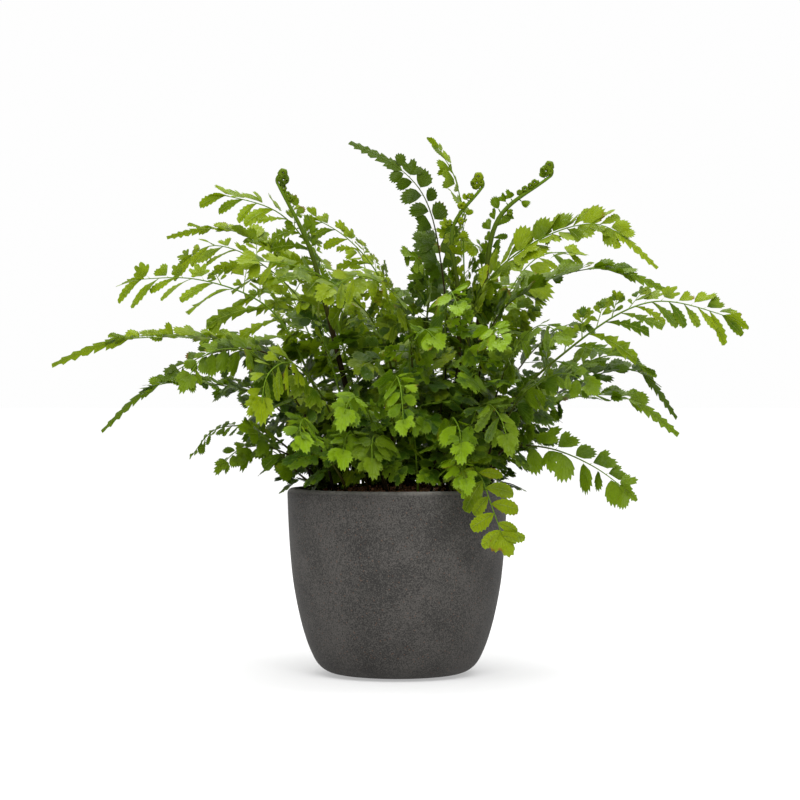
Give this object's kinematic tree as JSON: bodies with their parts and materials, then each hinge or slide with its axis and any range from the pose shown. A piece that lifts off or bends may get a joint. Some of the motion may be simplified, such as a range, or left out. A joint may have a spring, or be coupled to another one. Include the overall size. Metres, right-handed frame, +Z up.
{
  "type": "potted mother fern",
  "caption": "Potted mother fern: arching fronds of toothed leaflets and coiled young tips rise from the soil of a dark grey cup-shaped pot with a rounded base.",
  "frame": {"origin": "centre of the pot's flat underside", "axes": "+Z up along the pot's axis, +X to the right and +Y away from the viewer as the picture shows it"},
  "size_m": [0.4001, 0.2681, 0.324],
  "materials": {
    "cement_dark_grey": "matte cast cement, finely mottled with pale specks",
    "potting_soil": "matte crumbly potting soil with bark bits",
    "fern_young": "satin young leaf, bright yellow-green",
    "fern_light": "satin leaf, fresh green",
    "fern_mid": "satin leaf, mid green",
    "fern_dark": "satin leaf, dark green"
  },
  "bodies": {
    "root": {"pot": "cement_dark_grey", "soil": "potting_soil", "frond_back_01": "fern_mid", "frond_back_02": "fern_light", "frond_back_03": "fern_mid", "frond_back_04": "fern_light", "frond_back_05": "fern_mid", "frond_back_06": "fern_dark", "frond_back_07": "fern_light", "frond_back_08": "fern_mid", "frond_back_09": "fern_dark", "frond_back_10": "fern_dark", "frond_back_11": "fern_mid", "frond_crozier_left": "fern_dark", "frond_crozier_middle": "fern_dark", "frond_crozier_right": "fern_dark", "frond_front_01": "fern_light", "frond_front_02": "fern_light", "frond_front_03": "fern_light", "frond_front_04": "fern_young", "frond_front_05": "fern_young", "frond_front_06": "fern_light", "frond_front_07": "fern_young", "frond_front_08": "fern_young", "frond_front_09": "fern_mid", "frond_front_10": "fern_light", "frond_front_11": "fern_light", "frond_front_12": "fern_mid", "frond_front_13": "fern_light", "frond_left_01": "fern_mid", "frond_left_02": "fern_dark", "frond_left_03": "fern_light", "frond_left_04": "fern_light", "frond_left_05": "fern_mid", "frond_left_06": "fern_light", "frond_left_07": "fern_dark", "frond_left_08": "fern_dark", "frond_left_09": "fern_mid", "frond_left_10": "fern_dark", "frond_left_11": "fern_light", "frond_left_12": "fern_mid", "frond_left_13": "fern_young", "frond_right_01": "fern_light", "frond_right_02": "fern_dark", "frond_right_03": "fern_light", "frond_right_04": "fern_mid", "frond_right_05": "fern_dark", "frond_right_06": "fern_dark", "frond_right_07": "fern_dark", "frond_right_08": "fern_mid", "frond_right_09": "fern_mid", "frond_right_10": "fern_light", "frond_top_01": "fern_light", "frond_top_02": "fern_light", "frond_top_03": "fern_light", "frond_top_04": "fern_dark", "frond_top_05": "fern_young", "frond_top_06": "fern_light", "frond_top_07": "fern_mid"}
  },
  "joints": []
}
